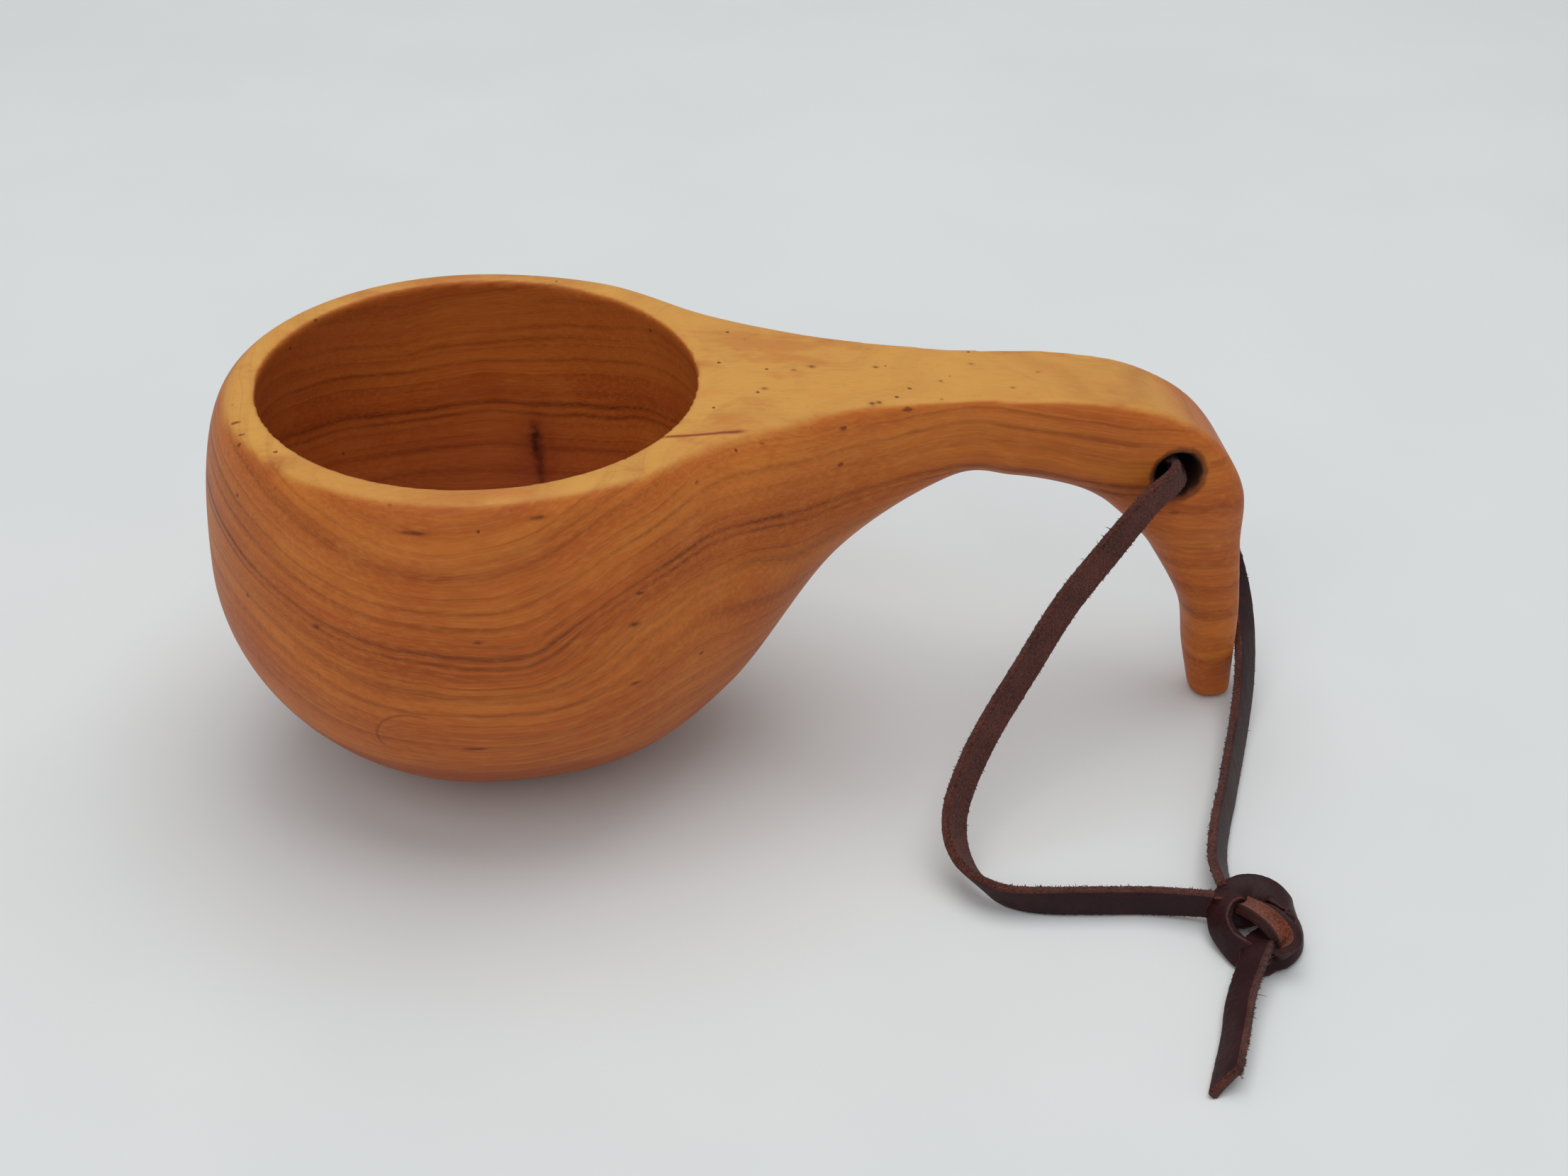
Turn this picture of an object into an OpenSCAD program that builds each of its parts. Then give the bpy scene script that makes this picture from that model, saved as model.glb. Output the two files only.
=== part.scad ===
// Kuksa: a carved wooden drinking cup with a leather wrist thong through its handle.
// +Z is up and the handle points along +X. The origin is the middle of the bowl's underside.

/* [Bowl] */
// Diameter of the bowl's mouth
mouth_d = 78; // [74:0.5:80]
// Height of the cup, from the table to the rim
cup_h = 77; // [75:0.5:79]
// Width of the flat rim at the bowl's free side
rim_w = 3; // [2:0.5:4]
// Half width of the bowl at its belly
belly_r = 50; // [48:0.5:52]
// Wood left under the deepest point of the hollow
floor_t = 9; // [7:0.5:14]
// How far the hollow swells out below the mouth
hollow_swell = 2.5; // [0:0.5:3]

/* [Handle] */
// Distance from the bowl's middle to the middle of the handle's bend
bend_x = 109; // [105:0.5:113]
// Height of the middle of the bend over the table
bend_z = 32; // [31:0.5:33]
// Outer radius of the bend
bend_outer_r = 39; // [37:0.5:41]
// Inner radius of the bend
bend_inner_r = 20; // [18:0.5:22]
// Width of the handle's flat top
handle_top_w = 18; // [15:0.5:20]
// Width of the handle at its sides
handle_w = 23; // [21:0.5:25]
// Width of the foot at the end of the handle
foot_w = 9; // [8:0.5:11]

/* [Thong hole] */
// Diameter of the hole across the handle
hole_d = 8; // [7.5:0.5:9]
// Diameter of the hole's burnt countersinks
sink_d = 10.5; // [9:0.5:12]
// Distance of the hole from the middle of the bend
hole_bend_r = 31.5; // [29:0.5:32]
// Angle of the hole on the bend, from level
hole_angle = 53; // [45:1:55]

/* [Thong] */
// Width of the leather strip
thong_w = 5.4; // [5:0.1:6]
// Thickness of the leather strip
thong_t = 1.8; // [1.6:0.1:2]
// Outer diameter of the knot
knot_d = 18; // [17:0.5:19]

/* [Hidden] */

mouth_r = mouth_d / 2;
rim_r = mouth_r + rim_w;
top_r = handle_top_w / 2;
side_r = handle_w / 2;
foot_r = foot_w / 2;
hole_x = bend_x + hole_bend_r * cos(hole_angle);
hole_z = bend_z + hole_bend_r * sin(hole_angle);

// Faces round each section, and sections along each stretch
TOP_STEPS = 1;
UPPER_STEPS = 6;
LOWER_STEPS = 7;
HALF = TOP_STEPS + UPPER_STEPS + LOWER_STEPS;
MERIDIANS = 9;
HANDLE_STEPS = 40;
FOOT_STEPS = 3;
BASE_CUT = 1.2;
FOOT_ROUND = 2;

// A point on the bend, at a radius and an angle from level
function on_bend(r, a) = [bend_x + r * cos(a), bend_z + r * sin(a)];

// The cup's sections, from the bowl's middle out along the handle and down to its foot:
// [top point, keel point, half width of the flat top, half width of the side,
//  height share of the side, roundness of the upper edge, roundness of the lower side]
SECTIONS = [
    [[0, cup_h], [0, -BASE_CUT], rim_r + 0.5, belly_r - 2.5, 0.58, 2.3, 1.92],
    [[25, cup_h], [25, 2], 36, 43.5, 0.58, 2.3, 1.95],
    [[45, cup_h - 0.5], [45, 14], 20, 30, 0.58, 2.4, 2],
    [[65, cup_h - 1.5], [65, 40], 12.5, 17, 0.58, 2.5, 2.05],
    [[86, cup_h - 3], [86, 54.4], top_r + 1, side_r - 0.5, 0.58, 2.8, 2.3],
    [[98, cup_h - 3.8], [98, 54.3], top_r + 0.5, side_r - 0.2, 0.57, 2.8, 2.3],
    [on_bend(bend_outer_r + 1.5, 90), on_bend(bend_inner_r - 0.3, 90), top_r, side_r, 0.55, 2.8, 2.3],
    [on_bend(bend_outer_r + 1, 70), on_bend(bend_inner_r - 2.2, 70),
     top_r - 0.5, side_r + 0.5, 0.5, 2.6, 2.3],
    [on_bend(bend_outer_r + 1, 50), on_bend(bend_inner_r - 3.4, 50),
     top_r - 1.5, side_r + 0.5, 0.5, 2.5, 2.3],
    [on_bend(bend_outer_r - 0.5, 30), on_bend(bend_inner_r - 3, 30), top_r - 3, side_r, 0.5, 2.4, 2.3],
    [on_bend(bend_outer_r - 3.5, 10), on_bend(bend_inner_r - 1, 10),
     top_r - 4.5, side_r - 2, 0.5, 2.3, 2.3],
    [[bend_x + 37, bend_z - 10], [bend_x + 26, bend_z - 10], 3.5, foot_r + 3, 0.5, 2.3, 2.3],
    [[bend_x + 37.5, bend_z - 21], [bend_x + 28, bend_z - 21], 3, foot_r + 1.5, 0.5, 2.3, 2.3],
    [[bend_x + 38, FOOT_ROUND], [bend_x + 30, FOOT_ROUND], 2.5, foot_r, 0.5, 2.3, 2.3]
];
// Reach of the flat rim and of the belly on the bowl's free side, away from the handle
FREE_RIM_R = rim_r - 0.5;
FREE_BELLY_R = belly_r - 1;

function flat(row) = [row[0][0], row[0][1], row[1][0], row[1][1], row[2], row[3], row[4], row[5], row[6]];
FLAT_SECTIONS = [for (row = SECTIONS) flat(row)];
// A mirrored row before the first keeps the bowl smooth across its middle
function mirrored(row) = [for (k = [0 : len(row) - 1]) k == 0 || k == 2 ? -row[k] : row[k]];
SPINE = concat([mirrored(FLAT_SECTIONS[1])], FLAT_SECTIONS);

// A smooth curve through rows of numbers, at t counted in rows
function curve(rows, t) =
    let (last = len(rows) - 1, i = min(floor(t), last - 1), f = t - i,
         b = rows[i], c = rows[i + 1],
         a = i > 0 ? rows[i - 1] : 2 * b - c,
         d = i + 2 <= last ? rows[i + 2] : 2 * c - b)
    0.5 * (2 * b + (c - a) * f + (2 * a - 5 * b + 4 * c - d) * pow(f, 2)
         + (3 * b - a - 3 * c + d) * pow(f, 3));

// Half of a section's outline, from its top middle to its keel: [across, share of its height]
function outline(top_r, side_r, side_q, upper, lower) = concat(
    [for (i = [0 : TOP_STEPS - 1]) [top_r * i / TOP_STEPS, 1]],
    [for (i = [0 : UPPER_STEPS - 1]) let (a = 90 * i / UPPER_STEPS)
        [top_r + (side_r - top_r) * pow(sin(a), 2 / upper),
         side_q + (1 - side_q) * pow(cos(a), 2 / upper)]],
    [for (i = [0 : LOWER_STEPS]) let (a = 90 * i / LOWER_STEPS)
        [side_r * pow(cos(a), 2 / lower), side_q * (1 - pow(sin(a), 2 / lower))]]);

// Radius at an angle of an ellipse with semi-axes a and b
function ellipse_r(a, b, angle) = 1 / sqrt(pow(cos(angle) / a, 2) + pow(sin(angle) / b, 2));

// Half rings: one meridian of the bowl's free side, and one section of the handle's side
function meridian(angle) =
    let (s = FLAT_SECTIONS[0])
    [for (p = outline(ellipse_r(FREE_RIM_R, s[4], angle), ellipse_r(FREE_BELLY_R, s[5], angle),
                      s[6], s[7], s[8]))
        [cos(angle) * p[0], -sin(angle) * p[0], s[3] + (s[1] - s[3]) * p[1]]];
function section(s) =
    [for (p = outline(s[4], s[5], s[6], s[7], s[8]))
        [s[2] + (s[0] - s[2]) * p[1], -p[0], s[3] + (s[1] - s[3]) * p[1]]];
// The foot's last rings draw in, so that its bottom edge is round
function foot_ring(s, a) =
    let (draw = FOOT_ROUND * (1 - cos(a)), mid = (s[0] + s[2]) / 2, k = 1 - 2 * draw / (s[0] - s[2]))
    [for (p = section(s)) [mid + (p[0] - mid) * k, p[1] * (1 - draw / s[5]), FOOT_ROUND * (1 - sin(a))]];

function both_sides(half) =
    concat(half, [for (j = [HALF - 1 : -1 : 1]) [half[j][0], -half[j][1], half[j][2]]]);

module cup_outside() {
    last = FLAT_SECTIONS[len(SECTIONS) - 1];
    rings = concat(
        [for (i = [0 : MERIDIANS - 1]) both_sides(meridian(180 - 90 * i / MERIDIANS))],
        [for (i = [0 : HANDLE_STEPS])
            both_sides(section(curve(SPINE, 1 + (len(SECTIONS) - 1) * i / HANDLE_STEPS)))],
        [for (i = [1 : FOOT_STEPS]) both_sides(foot_ring(last, 90 * i / FOOT_STEPS))]);
    n = 2 * HALF;
    count = len(rings);
    // Points that several rings share, on the bowl's axis and on the first meridian, are used once
    function id(i, j) = let (k = j % n)
        i < MERIDIANS && k == 0 ? 0
        : i < MERIDIANS && k == HALF ? HALF
        : i == 0 && k > HALF ? n - k
        : i * n + k;
    triangles = [for (i = [0 : count - 2], j = [0 : n - 1])
        let (a = id(i, j), b = id(i + 1, j), c = id(i + 1, j + 1), d = id(i, j + 1))
        each [[a, b, c], [a, c, d]]];
    sound = [for (t = triangles) if (t[0] != t[1] && t[1] != t[2] && t[2] != t[0]) t];
    sole = [(last[0] + last[2]) / 2, 0, 0];
    cap = [for (j = [0 : n - 1]) [id(count - 1, j + 1), id(count - 1, j), count * n]];
    polyhedron(points = [for (ring = rings) each ring, sole], faces = concat(sound, cap), convexity = 6);
}

// The hollow is round, and a little off the bowl's middle
HOLLOW_AT = [0.8, 0.8, 0];
module hollow() {
    depth = cup_h - floor_t;
    chamfer = 0.5;
    steps = 18;
    wall = [for (i = [0 : steps]) let (s = sin(90 * i / steps))
        [(mouth_r + hollow_swell * sin(180 * s)) * pow(max(0, 1 - pow(s, 2.6)), 0.42), cup_h - depth * s]];
    translate(HOLLOW_AT)
        rotate_extrude($fn = 96)
            polygon(concat([[0, cup_h + 5], [mouth_r + chamfer, cup_h + 5], [mouth_r + chamfer, cup_h]],
                [[mouth_r, cup_h - chamfer]], [for (i = [1 : steps]) wall[i]]));
}

// A bore with a flare at each end, in one turned piece
module thong_hole() {
    reach = 20;
    sink_depth = 1.2;
    sink_from = side_r - 0.6;
    bore_r = hole_d / 2;
    flare_r = bore_r + (reach - sink_from) * (sink_d - hole_d) / 2 / sink_depth;
    translate([hole_x, 0, hole_z])
        rotate([90, 0, 0])
            rotate_extrude($fn = 48)
                polygon([[0, -reach], [flare_r, -reach], [bore_r, -sink_from],
                    [bore_r, sink_from], [flare_r, reach], [0, reach]]);
}

// The table plane trims the bowl's underside flat
module cup() {
    under = [2 * belly_r, 2 * belly_r, 20];
    color("peru")
        difference() {
            cup_outside();
            hollow();
            thong_hole();
            translate([0, 0, -under[2] / 2]) cube(under, center = true);
        }
}

// The thong's routes: [x, y, z, and the way the strip's rough side looks].
// Both legs start face to face in the middle of the hole and end inside the knot.
FRONT_ROUTE = [
    [hole_x, 0, hole_z, 0.75, 0, 0.65], [hole_x, -8.5, hole_z, 0.75, 0, 0.65],
    [127, -13, 57.2, 0.76, -0.64, 0.11], [121.5, -16.5, 54.4, 0.47, -0.88, 0.04],
    [113.3, -20.5, 46.5, 0.39, -0.91, 0.15], [104.8, -26, 39, 0.41, -0.89, 0.21],
    [97, -32, 30, 0.43, -0.87, 0.24], [88.4, -39.5, 20.5, 0.47, -0.84, 0.28],
    [83, -46, 12.5, 0.55, -0.75, 0.36], [81.5, -51, 8, 0.67, -0.49, 0.56],
    [82.5, -56, 5, 0.73, -0.02, 0.69], [85, -60.5, 4, 0.67, 0.44, 0.59],
    [89, -63.6, 3.3, 0.42, 0.83, 0.36], [95, -65.2, 3.1, 0.17, 0.98, 0.09],
    [104, -66.2, 3.1, 0.1, 0.99, 0.01], [114, -67.2, 3.1, 0.2, 0.98, 0.02],
    [124.5, -70.5, 4.2, 0.29, 0.95, 0.1]
];
BACK_ROUTE = [
    [hole_x, 0, hole_z, 0.75, 0, 0.65], [hole_x, 9, hole_z, 0.75, 0, 0.65],
    [130, 14.5, 54.5, 0.7, 0.45, 0.5], [133, 18.5, 47, 0.65, 0.7, 0.2],
    [138.5, 18.5, 37, 0.44, 0.89, 0.16], [146.2, 15.5, 27.5, 0.15, 0.92, -0.35],
    [149.8, 10, 19.5, -0.44, 0.62, -0.65], [150.3, 3, 13, -0.63, 0.46, -0.62],
    [148, -7.5, 8.3, -0.74, 0.41, -0.53], [144, -19, 4.7, -0.8, 0.39, -0.46],
    [139, -31.5, 3.6, -0.83, 0.36, -0.44], [136, -39, 3.5, -0.83, 0.35, -0.42],
    [133, -46, 3.4, -0.84, 0.34, -0.43], [130.2, -53.4, 3.5, -0.84, 0.26, -0.47],
    [128.4, -60.3, 3.8, -0.83, 0.1, -0.55], [127.8, -68, 4.5, -0.83, 0.01, -0.56]
];
TAIL_ROUTE = [
    [130, -80, 5, 0.69, -0.21, -0.69], [127.5, -85, 4.6, 0.56, -0.18, -0.8],
    [122.8, -93.5, 3.4, 0.63, -0.25, -0.74], [119.8, -101, 2.9, 0.67, -0.28, -0.69],
    [115.1, -111.6, 2.6, 0.66, -0.28, -0.7]
];
KNOT_AT = [130.5, -75.5];
KNOT_BAND_R = 4;
LEG_RINGS = 30;
TAIL_RINGS = 8;

function unit(v) = v / norm(v);
function place(row) = [row[0], row[1], row[2]];
function facing(row) = [row[3], row[4], row[5]];

// The strip's eight corners round a route's point, square to its run
function strip_ring(route, t) =
    let (last = len(route) - 1, step = 0.05,
         p = curve(route, t),
         run = unit(place(curve(route, min(last, t + step))) - place(curve(route, max(0, t - step)))),
         across = unit(cross(run, facing(p))), out = cross(across, run),
         w = thong_w / 2, h = thong_t / 2, c = thong_t / 4)
    [for (k = [[w - c, h], [w, h - c], [w, c - h], [w - c, -h],
               [c - w, -h], [-w, c - h], [-w, h - c], [c - w, h]])
        place(p) + across * k[0] + out * k[1]];

module strip(route, count) {
    sides = 8;
    rings = [for (i = [0 : count - 1]) strip_ring(route, (len(route) - 1) * i / (count - 1))];
    walls = [for (i = [0 : count - 2], j = [0 : sides - 1])
        let (a = i * sides + j, b = i * sides + (j + 1) % sides)
        each [[a, b + sides, b], [a, a + sides, b + sides]]];
    ends = [[for (j = [0 : sides - 1]) j], [for (j = [sides - 1 : -1 : 0]) (count - 1) * sides + j]];
    color("saddlebrown")
        polyhedron(points = [for (ring = rings) each ring], faces = concat(walls, ends), convexity = 6);
}

module lanyard_front_leg() { strip(FRONT_ROUTE, LEG_RINGS); }
module lanyard_back_leg() { strip(BACK_ROUTE, LEG_RINGS); }
module lanyard_tail() { strip(TAIL_ROUTE, TAIL_RINGS); }

// The knot's band closes to a ring
module lanyard_knot() {
    color("saddlebrown")
        translate([KNOT_AT[0], KNOT_AT[1], KNOT_BAND_R])
            rotate_extrude($fn = 48)
                translate([knot_d / 2 - KNOT_BAND_R, 0]) circle(r = KNOT_BAND_R, $fn = 24);
}

cup();
lanyard_front_leg();
lanyard_back_leg();
lanyard_knot();
lanyard_tail();
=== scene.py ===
"""Looks of the kuksa cup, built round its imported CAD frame.

Sections and routes are in millimetres, as in the CAD, and are scaled by MM when they become meshes.
"""
import math
from collections import namedtuple

import bmesh
import bpy
import numpy as np
from mathutils import Matrix, Vector, noise


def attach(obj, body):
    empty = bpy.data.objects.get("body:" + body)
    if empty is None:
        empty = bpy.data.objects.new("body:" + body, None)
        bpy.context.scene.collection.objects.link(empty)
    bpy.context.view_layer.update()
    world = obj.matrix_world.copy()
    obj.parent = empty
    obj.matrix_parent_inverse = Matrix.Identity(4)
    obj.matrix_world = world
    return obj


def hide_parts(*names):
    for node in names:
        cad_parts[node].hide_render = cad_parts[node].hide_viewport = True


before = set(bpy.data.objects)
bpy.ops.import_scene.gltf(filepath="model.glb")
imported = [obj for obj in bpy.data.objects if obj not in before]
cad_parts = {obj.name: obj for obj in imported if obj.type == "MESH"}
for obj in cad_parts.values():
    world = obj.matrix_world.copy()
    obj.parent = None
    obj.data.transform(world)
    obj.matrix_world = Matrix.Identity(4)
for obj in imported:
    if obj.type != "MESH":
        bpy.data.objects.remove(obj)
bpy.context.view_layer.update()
scene = bpy.context.scene
MM = 0.001


# ---------------------------------------------------------------- camera

# how far round the cup from its near side, above the table, and tipped sideways
AZIMUTH, ELEVATION, ROLL = (math.radians(a) for a in (-7.9, 32.9, 1.37))
TARGET = Vector((57.0, 2.5, 27.5)) * MM
DISTANCE = 464 * MM
SENSOR_WIDTH = 36.0
FOCAL_SHARE = 3400 / 2212  # the focal length over the width of the picture, both in pixels

flat = math.cos(ELEVATION)
back = Vector((math.sin(AZIMUTH) * flat, -math.cos(AZIMUTH) * flat, math.sin(ELEVATION)))
side = Vector((0, 0, 1)).cross(back).normalized()
up = back.cross(side)
camera_x = math.cos(ROLL) * side + math.sin(ROLL) * up
camera_y = math.cos(ROLL) * up - math.sin(ROLL) * side
camera_data = bpy.data.cameras.new("camera")
camera_data.sensor_width = SENSOR_WIDTH
camera_data.lens = SENSOR_WIDTH * FOCAL_SHARE
camera_data.clip_start = 0.01
camera = bpy.data.objects.new("camera", camera_data)
scene.collection.objects.link(camera)
turned = Matrix((camera_x, camera_y, back)).transposed().to_4x4()
camera.matrix_world = Matrix.Translation(TARGET + DISTANCE * back) @ turned
scene.camera = camera


# ---------------------------------------------------------------- helpers

def link(name, mesh):
    obj = bpy.data.objects.new(name, mesh)
    scene.collection.objects.link(obj)
    return obj


def mesh_of(name, verts, faces):
    mesh = bpy.data.meshes.new(name)
    mesh.from_pydata([tuple(v) for v in verts], [], [tuple(f) for f in faces])
    mesh.update()
    return mesh


def face_outwards(mesh, merge=0):
    """Turns the mesh's faces outwards, after merging points that are closer than merge."""
    bm = bmesh.new()
    bm.from_mesh(mesh)
    if merge:
        bmesh.ops.remove_doubles(bm, verts=bm.verts, dist=merge)
    bmesh.ops.recalc_face_normals(bm, faces=bm.faces)
    bm.to_mesh(mesh)
    bm.free()


def apply_modifiers(obj):
    graph = bpy.context.evaluated_depsgraph_get()
    mesh = bpy.data.meshes.new_from_object(obj.evaluated_get(graph))
    obj.modifiers.clear()
    obj.data = mesh


def curve(rows, t):
    """A smooth curve through rows of numbers, at t counted in rows."""
    rows = np.asarray(rows, float)
    last = len(rows) - 1
    i = min(int(t), last - 1)
    f = t - i
    b, c = rows[i], rows[i + 1]
    a = rows[i - 1] if i > 0 else 2 * b - c
    d = rows[i + 2] if i + 2 <= last else 2 * c - b
    return 0.5 * (2 * b + (c - a) * f + (2 * a - 5 * b + 4 * c - d) * f**2 + (3 * b - a - 3 * c + d) * f**3)


# ---------------------------------------------------------------- the cup's dimensions, as in the CAD

MOUTH_R, CUP_H, RIM_R, BELLY_R = 39, 77, 42, 50
FLOOR_T, SWELL, RIM_EASE = 9, 2.5, 0.7
BEND_X, BEND_Z, OUTER_R, INNER_R = 109, 32, 39, 20
TOP_R, SIDE_R, FOOT_R = 9, 11.5, 4.5
HOLE_R, HOLE_MOUTH_R, HOLE_BEND_R, HOLE_ANGLE = 4, 5.25, 31.5, 53
BASE_CUT, FOOT_ROUND = 1.2, 2
HOLLOW_AT = (0.8, 0.8, 0)


def on_bend(r, degrees):
    """A point of the handle's bend, at r from its centre and this far above level."""
    a = math.radians(degrees)
    return [BEND_X + r * math.cos(a), BEND_Z + r * math.sin(a)]


HOLE_X, HOLE_Z = on_bend(HOLE_BEND_R, HOLE_ANGLE)
# x and z of a section's top, x and z of its keel, half width of its flat top and of its sides, how high
# its widest point is as a share of its height, and the roundness of its upper and lower sides
SECTIONS = [
    [0, CUP_H, 0, -BASE_CUT, RIM_R + 0.5, BELLY_R - 2.5, 0.58, 2.3, 1.92],
    [25, CUP_H, 25, 2, 36, 43.5, 0.58, 2.3, 1.95],
    [45, CUP_H - 0.5, 45, 14, 20, 30, 0.58, 2.4, 2],
    [65, CUP_H - 1.5, 65, 40, 12.5, 17, 0.58, 2.5, 2.05],
    [86, CUP_H - 3, 86, 54.4, TOP_R + 1, SIDE_R - 0.5, 0.58, 2.8, 2.3],
    [98, CUP_H - 3.8, 98, 54.3, TOP_R + 0.5, SIDE_R - 0.2, 0.57, 2.8, 2.3],
    [*on_bend(OUTER_R + 1.5, 90), *on_bend(INNER_R - 0.3, 90), TOP_R, SIDE_R, 0.55, 2.8, 2.3],
    [*on_bend(OUTER_R + 1, 70), *on_bend(INNER_R - 2.2, 70), TOP_R - 0.5, SIDE_R + 0.5, 0.5, 2.6, 2.3],
    [*on_bend(OUTER_R + 1, 50), *on_bend(INNER_R - 3.4, 50), TOP_R - 1.5, SIDE_R + 0.5, 0.5, 2.5, 2.3],
    [*on_bend(OUTER_R - 0.5, 30), *on_bend(INNER_R - 3, 30), TOP_R - 3, SIDE_R, 0.5, 2.4, 2.3],
    [*on_bend(OUTER_R - 3.5, 10), *on_bend(INNER_R - 1, 10), TOP_R - 4.5, SIDE_R - 2, 0.5, 2.3, 2.3],
    [BEND_X + 37, BEND_Z - 10, BEND_X + 26, BEND_Z - 10, 3.5, FOOT_R + 3, 0.5, 2.3, 2.3],
    [BEND_X + 37.5, BEND_Z - 21, BEND_X + 28, BEND_Z - 21, 3, FOOT_R + 1.5, 0.5, 2.3, 2.3],
    [BEND_X + 38, FOOT_ROUND, BEND_X + 30, FOOT_ROUND, 2.5, FOOT_R, 0.5, 2.3, 2.3],
]
# reach of the rim and of the belly on the bowl's free side, away from the handle
FREE_RIM_R, FREE_BELLY_R = RIM_R - 0.5, BELLY_R - 1
TOP_STEPS, UPPER_STEPS, LOWER_STEPS = 5, 18, 26
HALF = TOP_STEPS + UPPER_STEPS + LOWER_STEPS
MERIDIANS, HANDLE_STEPS, FOOT_STEPS = 44, 230, 8
HOLLOW_STEPS, HOLLOW_SIDES, HOLE_SIDES = 60, 160, 64
VOXEL = 0.75 * MM
SOFTENING = 5


# ---------------------------------------------------------------- the cup's mesh

def outline(top_r, side_r, side_q, upper, lower):
    """Half of a section, from its top middle to its keel: how far across, and the share of its height."""
    a = np.radians(90 * np.arange(UPPER_STEPS) / UPPER_STEPS)
    b = np.radians(90 * np.arange(LOWER_STEPS + 1) / LOWER_STEPS)
    cos_b = np.cos(b)
    cos_b[-1] = 0
    across = np.concatenate([
        top_r * np.arange(TOP_STEPS) / TOP_STEPS,
        top_r + (side_r - top_r) * np.sin(a) ** (2 / upper),
        side_r * cos_b ** (2 / lower),
    ])
    share = np.concatenate([
        np.ones(TOP_STEPS),
        side_q + (1 - side_q) * np.cos(a) ** (2 / upper),
        side_q * (1 - np.sin(b) ** (2 / lower)),
    ])
    return across, share


def ring(x, y, z):
    """A closed ring out of one half of it, which runs from its top middle to its keel."""
    half = np.stack(np.broadcast_arrays(x, y, z), 1)
    return np.concatenate([half, half[1:-1][::-1] * (1, -1, 1)])


def ellipse_r(a, b, angle):
    """Radius at an angle of an ellipse with semi-axes a and b."""
    return 1 / math.sqrt((math.cos(angle) / a) ** 2 + (math.sin(angle) / b) ** 2)


def cup_outside():
    """The outside as one closed surface: the bowl's free side, then the handle, then the foot's rounded end."""
    first, last = SECTIONS[0], SECTIONS[-1]
    rings = []
    for i in range(MERIDIANS):
        angle = math.pi - math.pi / 2 * i / MERIDIANS
        rim, belly = ellipse_r(FREE_RIM_R, first[4], angle), ellipse_r(FREE_BELLY_R, first[5], angle)
        across, share = outline(rim, belly, *first[6:])
        z = first[3] + (first[1] - first[3]) * share
        rings.append(ring(math.cos(angle) * across, -math.sin(angle) * across, z))
    # a mirrored row before the first keeps the bowl smooth across its middle
    mirrored = [-v if k in (0, 2) else v for k, v in enumerate(SECTIONS[1])]
    spine = [mirrored, *SECTIONS]
    for i in range(HANDLE_STEPS + 1):
        row = curve(spine, 1 + (len(SECTIONS) - 1) * i / HANDLE_STEPS)
        top_x, top_z, keel_x, keel_z = row[:4]
        across, share = outline(*row[4:])
        rings.append(ring(keel_x + (top_x - keel_x) * share, -across, keel_z + (top_z - keel_z) * share))
    top_x, keel_x, foot_r = last[0], last[2], last[5]
    middle, thick = (top_x + keel_x) / 2, top_x - keel_x
    across, share = outline(*last[4:])
    for i in range(1, FOOT_STEPS + 1):
        a = math.pi / 2 * i / FOOT_STEPS
        draw = FOOT_ROUND * (1 - math.cos(a))
        x = middle + (keel_x + thick * share - middle) * (1 - 2 * draw / thick)
        rings.append(ring(x, -across * (1 - draw / foot_r), FOOT_ROUND * (1 - math.sin(a))))
    n, count = 2 * HALF, len(rings)
    verts = np.concatenate([*rings, [[middle, 0, 0]]])

    def at(i, j):
        """Index of ring i's point j. The bowl's rings meet at their tops and keels, and its first is flat."""
        k = j % n
        if i < MERIDIANS and k in (0, HALF):
            return k
        if i == 0 and k > HALF:
            return n - k
        return i * n + k

    faces = []
    for i in range(count - 1):
        for j in range(n):
            corners = (at(i, j + 1), at(i + 1, j + 1), at(i + 1, j), at(i, j))
            face = list(dict.fromkeys(corners))
            if len(face) > 2:
                faces.append(face)
    faces += [[at(count - 1, j), at(count - 1, j + 1), count * n] for j in range(n)]
    return verts, faces


def revolve(profile, steps):
    """A closed solid of revolution about Z: the profile of r and z runs from the axis out and back to it."""
    inner = profile[1:-1]
    verts = [[0, 0, profile[0][1]]]
    for i in range(steps):
        a = 2 * math.pi * i / steps
        verts += [[r * math.cos(a), r * math.sin(a), z] for r, z in inner]
    verts.append([0, 0, profile[-1][1]])
    n, end = len(inner), len(verts) - 1
    faces = []
    for i in range(steps):
        a, b = 1 + i * n, 1 + (i + 1) % steps * n
        faces.append([0, a, b])
        faces += [[a + k, a + k + 1, b + k + 1, b + k] for k in range(n - 1)]
        faces.append([a + n - 1, end, b + n - 1])
    return np.array(verts), faces


def hollow_tool():
    """The bowl's hollow, which swells below the rim and has an eased edge at the mouth."""
    above = CUP_H + 5
    profile = [[0, above], [MOUTH_R + RIM_EASE + 1.5, above], [MOUTH_R + RIM_EASE, CUP_H + 0.05]]
    for a in np.radians([15, 30, 45, 60, 75]):
        profile.append([MOUTH_R + RIM_EASE * (1 - math.sin(a)), CUP_H - RIM_EASE * (1 - math.cos(a))])
    for i in range(1, HOLLOW_STEPS + 1):
        s = math.sin(math.radians(90 * i / HOLLOW_STEPS))
        z = CUP_H - (CUP_H - FLOOR_T) * s
        if z <= CUP_H - RIM_EASE:
            profile.append([(MOUTH_R + SWELL * math.sin(math.pi * s)) * (1 - s**2.6) ** 0.42, z])
    verts, faces = revolve(profile, HOLLOW_SIDES)
    return verts + HOLLOW_AT, faces


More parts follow.
